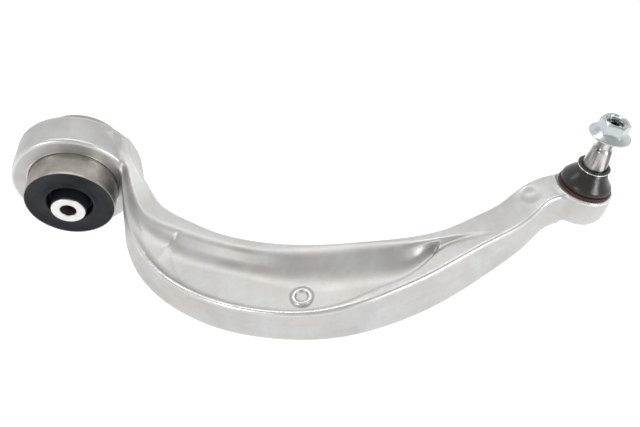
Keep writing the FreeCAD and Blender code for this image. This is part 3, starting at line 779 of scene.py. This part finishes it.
# ---------------------------------------------------------------- materials
class Nodes:
    """A material's node tree, with short calls for what the materials below share."""

    def __init__(self, name):
        self.material = bpy.data.materials.new(name)
        self.material.use_nodes = True
        self.tree = self.material.node_tree
        self.shader = next(n for n in self.tree.nodes if n.type == "BSDF_PRINCIPLED")
        self.where = self.add("ShaderNodeTexCoord").outputs["Object"]

    def add(self, kind, **settings):
        node = self.tree.nodes.new(kind)
        for key, value in settings.items():
            setattr(node, key, value)
        return node

    def link(self, source, target):
        self.tree.links.new(source, target)

    def stretched(self, matrix, scale):
        """Coordinates in a turned frame, stretched: rows of the frame and a factor for each."""
        combine = self.add("ShaderNodeCombineXYZ")
        for row, factor, name in zip(matrix, scale, "XYZ"):
            dot = self.add("ShaderNodeVectorMath", operation="DOT_PRODUCT")
            self.link(self.where, dot.inputs[0])
            dot.inputs[1].default_value = [value * factor for value in row]
            self.link(dot.outputs["Value"], combine.inputs[name])
        return combine.outputs[0]

    def noise(self, scale, detail=3.0, rough=0.5, where=None):
        node = self.add("ShaderNodeTexNoise")
        node.inputs["Scale"].default_value = scale
        node.inputs["Detail"].default_value = detail
        node.inputs["Roughness"].default_value = rough
        self.link(where or self.where, node.inputs["Vector"])
        return node.outputs["Fac"]

    def between(self, factor, low, high, start=0.3, end=0.7):
        """A number from low to high as the factor goes from start to end."""
        node = self.add("ShaderNodeMapRange")
        self.link(factor, node.inputs["Value"])
        for name, value in (("From Min", start), ("From Max", end), ("To Min", low), ("To Max", high)):
            node.inputs[name].default_value = value
        return node.outputs["Result"]

    def colours(self, factor, stops):
        """A colour ramp over (place, colour) stops."""
        node = self.add("ShaderNodeValToRGB")
        ramp_stops = node.color_ramp.elements
        while len(ramp_stops) < len(stops):
            ramp_stops.new(0.5)
        for element, (place, colour) in zip(ramp_stops, stops):
            element.position = place
            element.color = (*colour, 1)
        self.link(factor, node.inputs["Fac"])
        return node.outputs["Color"]

    def mixed(self, factor, first, second, blend="MIX"):
        """Two colours mixed by a factor; either may be a socket or a colour."""
        node = self.add("ShaderNodeMix", data_type="RGBA", blend_type=blend)
        for value, socket in ((factor, node.inputs[0]), (first, node.inputs[6]), (second, node.inputs[7])):
            if isinstance(value, bpy.types.NodeSocket):
                self.link(value, socket)
            elif isinstance(value, tuple):
                socket.default_value = (*value, 1)
            else:
                socket.default_value = value
        return node.outputs[2]

    def bumps(self, *layers):
        """Bump layers of (height, strength, distance in millimetres), one on another."""
        previous = None
        for height, strength, distance in layers:
            node = self.add("ShaderNodeBump")
            node.inputs["Strength"].default_value = strength
            node.inputs["Distance"].default_value = distance * MM
            self.link(height, node.inputs["Height"])
            if previous is not None:
                self.link(previous, node.inputs["Normal"])
            previous = node.outputs["Normal"]
        self.link(previous, self.shader.inputs["Normal"])

    def finish(self, metallic, roughness, colour, specular=0.5):
        """Set the shader's own sockets and return the material."""
        self.shader.inputs["Metallic"].default_value = metallic
        self.shader.inputs["Specular IOR Level"].default_value = specular
        for value, name in ((roughness, "Roughness"), (colour, "Base Color")):
            if isinstance(value, bpy.types.NodeSocket):
                self.link(value, self.shader.inputs[name])
            else:
                self.shader.inputs[name].default_value = value
        return self.material


STUD_AXES = (tuple(SIDE), tuple(FORE), tuple(STUD))


def forged_aluminium():
    """Blasted and tumbled forging: satin, warm grey, faintly mottled, lighter on its rounded edges: partly
    real polish, partly a painted highlight.
    """
    n = Nodes("forged_aluminium")
    broad = n.noise(14, 3, 0.5)
    cloud = n.noise(48, 4, 0.6)
    mottle = n.noise(190, 3, 0.6)
    grain = n.noise(1500, 2, 0.6)
    base = n.colours(broad, [(0.36, (0.455, 0.45, 0.425)), (0.64, (0.55, 0.542, 0.51))])
    base = n.mixed(n.between(cloud, 0.0, 0.75, 0.42, 0.66), base, (0.59, 0.60, 0.61))
    base = n.mixed(n.between(mottle, 0.0, 0.35, 0.5, 0.75), base, (0.43, 0.425, 0.41))
    # Rounded edges, found by pointiness, are painted lighter: partly real polish from tumbling, partly a
    # painted highlight. The same mask also lowers the roughness there.
    edge = n.between(n.add("ShaderNodeNewGeometry").outputs["Pointiness"], 0.0, 0.9, 0.509, 0.548)
    base = n.mixed(edge, base, (0.86, 0.855, 0.835))
    worn = n.add("ShaderNodeMath", operation="MULTIPLY_ADD")
    n.link(edge, worn.inputs[0])
    worn.inputs[1].default_value = -0.26
    n.link(n.between(cloud, 0.38, 0.50), worn.inputs[2])
    rough = worn.outputs[0]
    n.bumps((n.noise(120, 3, 0.5), 0.3, 0.3), (grain, 0.35, 0.06))
    return n.finish(0.86, rough, base)


def can_steel():
    """Drawn steel: brownish grey, brushed round the can, with cloudy stains."""
    n = Nodes("can_steel")
    lines = n.noise(1, 3, 0.7, n.stretched(((1, 0, 0), (0, 1, 0), (0, 0, 1)), (35, 1500, 35)))
    cloud = n.noise(75, 4, 0.6)
    base = n.colours(cloud, [(0.35, (0.29, 0.265, 0.238)), (0.52, (0.385, 0.36, 0.33)),
                             (0.7, (0.51, 0.488, 0.455))])
    base = n.mixed(n.between(lines, 0.0, 0.35), base, (0.54, 0.522, 0.495))
    rough = n.between(cloud, 0.44, 0.3)
    n.bumps((lines, 0.25, 0.05), (n.noise(420, 3), 0.2, 0.08))
    return n.finish(0.95, rough, base)


def sleeve_steel():
    """The sleeve: faced ends with fine turning marks, its sides dark with coating."""
    n = Nodes("sleeve_steel")
    ring = n.add("ShaderNodeTexWave", wave_type="RINGS", rings_direction="Y", wave_profile="SAW")
    ring.inputs["Scale"].default_value = 420
    ring.inputs["Distortion"].default_value = 0.6
    n.link(n.where, ring.inputs["Vector"])
    stain = n.noise(260, 3, 0.6)
    base = n.colours(stain, [(0.3, (0.70, 0.69, 0.67)), (0.7, (0.82, 0.81, 0.80))])
    split = n.add("ShaderNodeSeparateXYZ")
    n.link(n.add("ShaderNodeNewGeometry").outputs["Normal"], split.inputs[0])
    facing = n.add("ShaderNodeMath", operation="ABSOLUTE")
    n.link(split.outputs["Y"], facing.inputs[0])
    ends = n.between(facing.outputs[0], 0.0, 1.0, 0.55, 0.8)
    base = n.mixed(ends, (0.20, 0.185, 0.165), base)
    n.bumps((ring.outputs["Fac"], 0.18, 0.04), (stain, 0.1, 0.05))
    return n.finish(0.85, n.between(stain, 0.34, 0.48), base)


def rubber(name, dark, light, low, high, shine=0.3):
    """Moulded rubber: matt, faintly bloomed, with a fine grain."""
    n = Nodes(name)
    bloom = n.noise(60, 4, 0.6)
    base = n.colours(bloom, [(0.35, dark), (0.72, light)])
    n.bumps((n.noise(320, 3, 0.6), 0.25, 0.12), (n.noise(2200, 2), 0.2, 0.03))
    return n.finish(0.0, n.between(n.noise(160, 3), low, high), base, shine)


def plastic(name, colour, shade, rough):
    """Moulded plastic with a fine spark-eroded grain."""
    n = Nodes(name)
    base = n.colours(n.noise(120, 3), [(0.3, shade), (0.7, colour)])
    n.bumps((n.noise(1300, 2), 0.2, 0.04))
    return n.finish(0.0, n.between(n.noise(300, 2), rough - 0.05, rough + 0.05), base)


def stud_steel():
    """Turned steel: fine rings round the stud, and long dark and light streaks along it that are painted
    reflections.
    """
    n = Nodes("stud_steel")
    rings = n.noise(1, 2, 0.6, n.stretched(STUD_AXES, (60, 60, 2400)))
    # The long streaks along the stud are painted reflections: dark and light bands of the room laid into
    # the colour.
    painted_reflection_streaks = n.noise(1, 3, 0.5, n.stretched(STUD_AXES, (240, 240, 7)))
    base = n.colours(painted_reflection_streaks, [(0.38, (0.14, 0.137, 0.13)), (0.5, (0.33, 0.325, 0.31)),
                              (0.6, (0.62, 0.61, 0.59))])
    n.bumps((rings, 0.22, 0.04))
    return n.finish(1.0, n.between(rings, 0.2, 0.34), base)


def nut_zinc():
    """Bright zinc plating with a cool cast."""
    n = Nodes("nut_zinc")
    cloud = n.noise(170, 3, 0.6)
    base = n.colours(cloud, [(0.3, (0.47, 0.515, 0.52)), (0.7, (0.61, 0.655, 0.655))])
    n.bumps((n.noise(900, 3, 0.6), 0.2, 0.05))
    return n.finish(0.9, n.between(cloud, 0.24, 0.36), base)


def wire_steel():
    """Bright drawn spring wire."""
    n = Nodes("wire_steel")
    mark = n.noise(500, 2)
    base = n.colours(mark, [(0.3, (0.74, 0.74, 0.75)), (0.7, (0.88, 0.88, 0.88))])
    return n.finish(1.0, n.between(mark, 0.14, 0.24), base)


# ---------------------------------------------------------------- putting it together
def dress(piece, material, body, slot, *replaced):
    """Give a piece its material and body, and say which CAD nodes it stands for; the slot is not used."""
    piece.data.materials.clear()
    piece.data.materials.append(material)
    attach(piece, body)
    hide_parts(*replaced)


def coat(node, material):
    """Give a CAD node a material, keeping its shape."""
    thing = frame["nodes"][node]
    if not thing.material_slots:
        thing.data.materials.append(material)
    for slot in thing.material_slots:
        slot.material = material


def camera():
    """The camera, at the height and turn from which the arm is seen."""
    bpy.context.scene.view_settings.view_transform = "Standard"
    data = bpy.data.cameras.new("camera")
    data.lens = CAMERA_LENS
    data.sensor_width = CAMERA_SENSOR
    thing = bpy.data.objects.new("camera", data)
    right, up = Vector(CAMERA_RIGHT), Vector(CAMERA_UP)
    turn = Matrix((right, up, right.cross(up))).transposed().to_4x4()
    thing.matrix_world = Matrix.Translation(Vector(CAMERA_PLACE) * MM) @ turn
    bpy.context.scene.collection.objects.link(thing)
    bpy.context.scene.camera = thing


def softbox(name, place, size, power, tint=(1, 1, 1)):
    """A rectangular soft light at a place, pointed at the arm."""
    data = bpy.data.lights.new(name, "AREA")
    data.shape = "RECTANGLE"
    data.size, data.size_y = size
    data.energy = power
    data.color = tint
    light = bpy.data.objects.new(name, data)
    light.location = place
    light.rotation_mode = "QUATERNION"
    light.rotation_quaternion = (Vector(LIGHT_AIM) - Vector(place)).to_track_quat("-Z", "Y")
    bpy.context.scene.collection.objects.link(light)


def studio():
    """A pale floor, a soft room that is darker overhead, and three soft lights."""
    world = bpy.data.worlds.new("room")
    world.use_nodes = True
    bpy.context.scene.world = world
    tree = world.node_tree
    where = tree.nodes.new("ShaderNodeTexCoord")
    lean = tree.nodes.new("ShaderNodeVectorMath")
    lean.operation = "DOT_PRODUCT"
    lean.inputs[1].default_value = SKY_LEAN
    tree.links.new(where.outputs["Generated"], lean.inputs[0])
    shade = tree.nodes.new("ShaderNodeValToRGB")
    stops = shade.color_ramp.elements
    stops.new(0.5)
    for stop, (place, level) in zip(stops, SKY_LEVELS):
        stop.position = place
        stop.color = (level, level, level * 1.01, 1)
    tree.links.new(lean.outputs["Value"], shade.inputs["Fac"])
    background = next(n for n in tree.nodes if n.type == "BACKGROUND")
    tree.links.new(shade.outputs["Color"], background.inputs["Color"])
    background.inputs["Strength"].default_value = 1.0
    softbox("strip_behind", (0.2, 0.40, 1.15), (2.0, 0.24), 5.5)
    softbox("key_left", (-0.9, -1.1, 0.9), (0.5, 0.5), 6, (1.0, 0.985, 0.96))
    softbox("fill_right", (1.2, -1.0, 0.55), (0.5, 0.4), 6.5, (0.98, 0.99, 1.0))
    corners = [(x * FLOOR_REACH, y * FLOOR_REACH, 0) for x, y in ((-1, -1), (1, -1), (1, 1), (-1, 1))]
    floor = mesh_piece("floor", corners, [(0, 1, 2, 3)])
    floor.location.z = cad_box[0].z - FLOOR_DROP
    n = Nodes("pale_floor")
    base = n.colours(n.noise(3, 2), [(0.3, (0.93, 0.93, 0.93)), (0.7, (0.95, 0.95, 0.95))])
    n.shader.inputs["Emission Color"].default_value = (1, 1, 1, 1)
    n.shader.inputs["Emission Strength"].default_value = FLOOR_GLOW
    floor.data.materials.append(n.finish(0.0, 0.9, base, 0.1))


def main():
    """Every piece in its place, with its material, on its body."""
    camera()
    studio()
    steel = can_steel()
    black = rubber("bush_rubber", (0.007, 0.009, 0.012), (0.018, 0.021, 0.027), 0.4, 0.52, 0.2)
    shell = plastic("shell_plastic", (0.80, 0.79, 0.75), (0.72, 0.71, 0.66), 0.4)
    channel = plastic("channel_plastic", (0.10, 0.10, 0.10), (0.07, 0.07, 0.07), 0.5)

    forging = forged_arm(FINE_STEP)
    dress(forging, forged_aluminium(), "arm", "forged_aluminium", "arm_forging")
    dress(bush_can(), steel, "arm", "can_steel", "bush_outer_can")
    dress(bush_rubber(), black, "arm", "bush_rubber", "bush_rubber_spring")
    dress(bush_sleeve(), sleeve_steel(), "inner_sleeve", "sleeve_steel", "bush_inner_sleeve")
    for node in ("bush_window_cage", "socket_cover_plate"):
        coat(node, steel)
    for node in ("bush_channel_half_upper", "bush_channel_half_lower"):
        coat(node, channel)
    for node in ("bush_travel_stop_upper", "bush_travel_stop_lower"):
        coat(node, black)
    for node in ("bearing_shell", "socket_pressure_ring"):
        coat(node, shell)

    dress(stud(), stud_steel(), "stud", "stud_steel", "ball_stud")
    dress(nut(), nut_zinc(), "nut", "nut_zinc", "flange_nut")
    dress(collar(), plastic("collar_plastic", (0.035, 0.034, 0.033), (0.022, 0.022, 0.021), 0.42),
          "collar", "collar_plastic", "boot_collar")
    dress(wire_ring(), wire_steel(), "collar", "ring_wire", "boot_upper_ring")
    dress(boot_band(), rubber("band_rubber", (0.045, 0.014, 0.012), (0.085, 0.028, 0.023), 0.4, 0.55),
          "arm", "band_rubber", "boot_lower_ring")
    bell = boot()
    skin = rubber("boot_rubber", (0.010, 0.009, 0.008), (0.024, 0.022, 0.020), 0.22, 0.32, 0.55)
    bell.data.materials.append(skin)
    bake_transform(bell)
    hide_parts("dust_boot")


main()
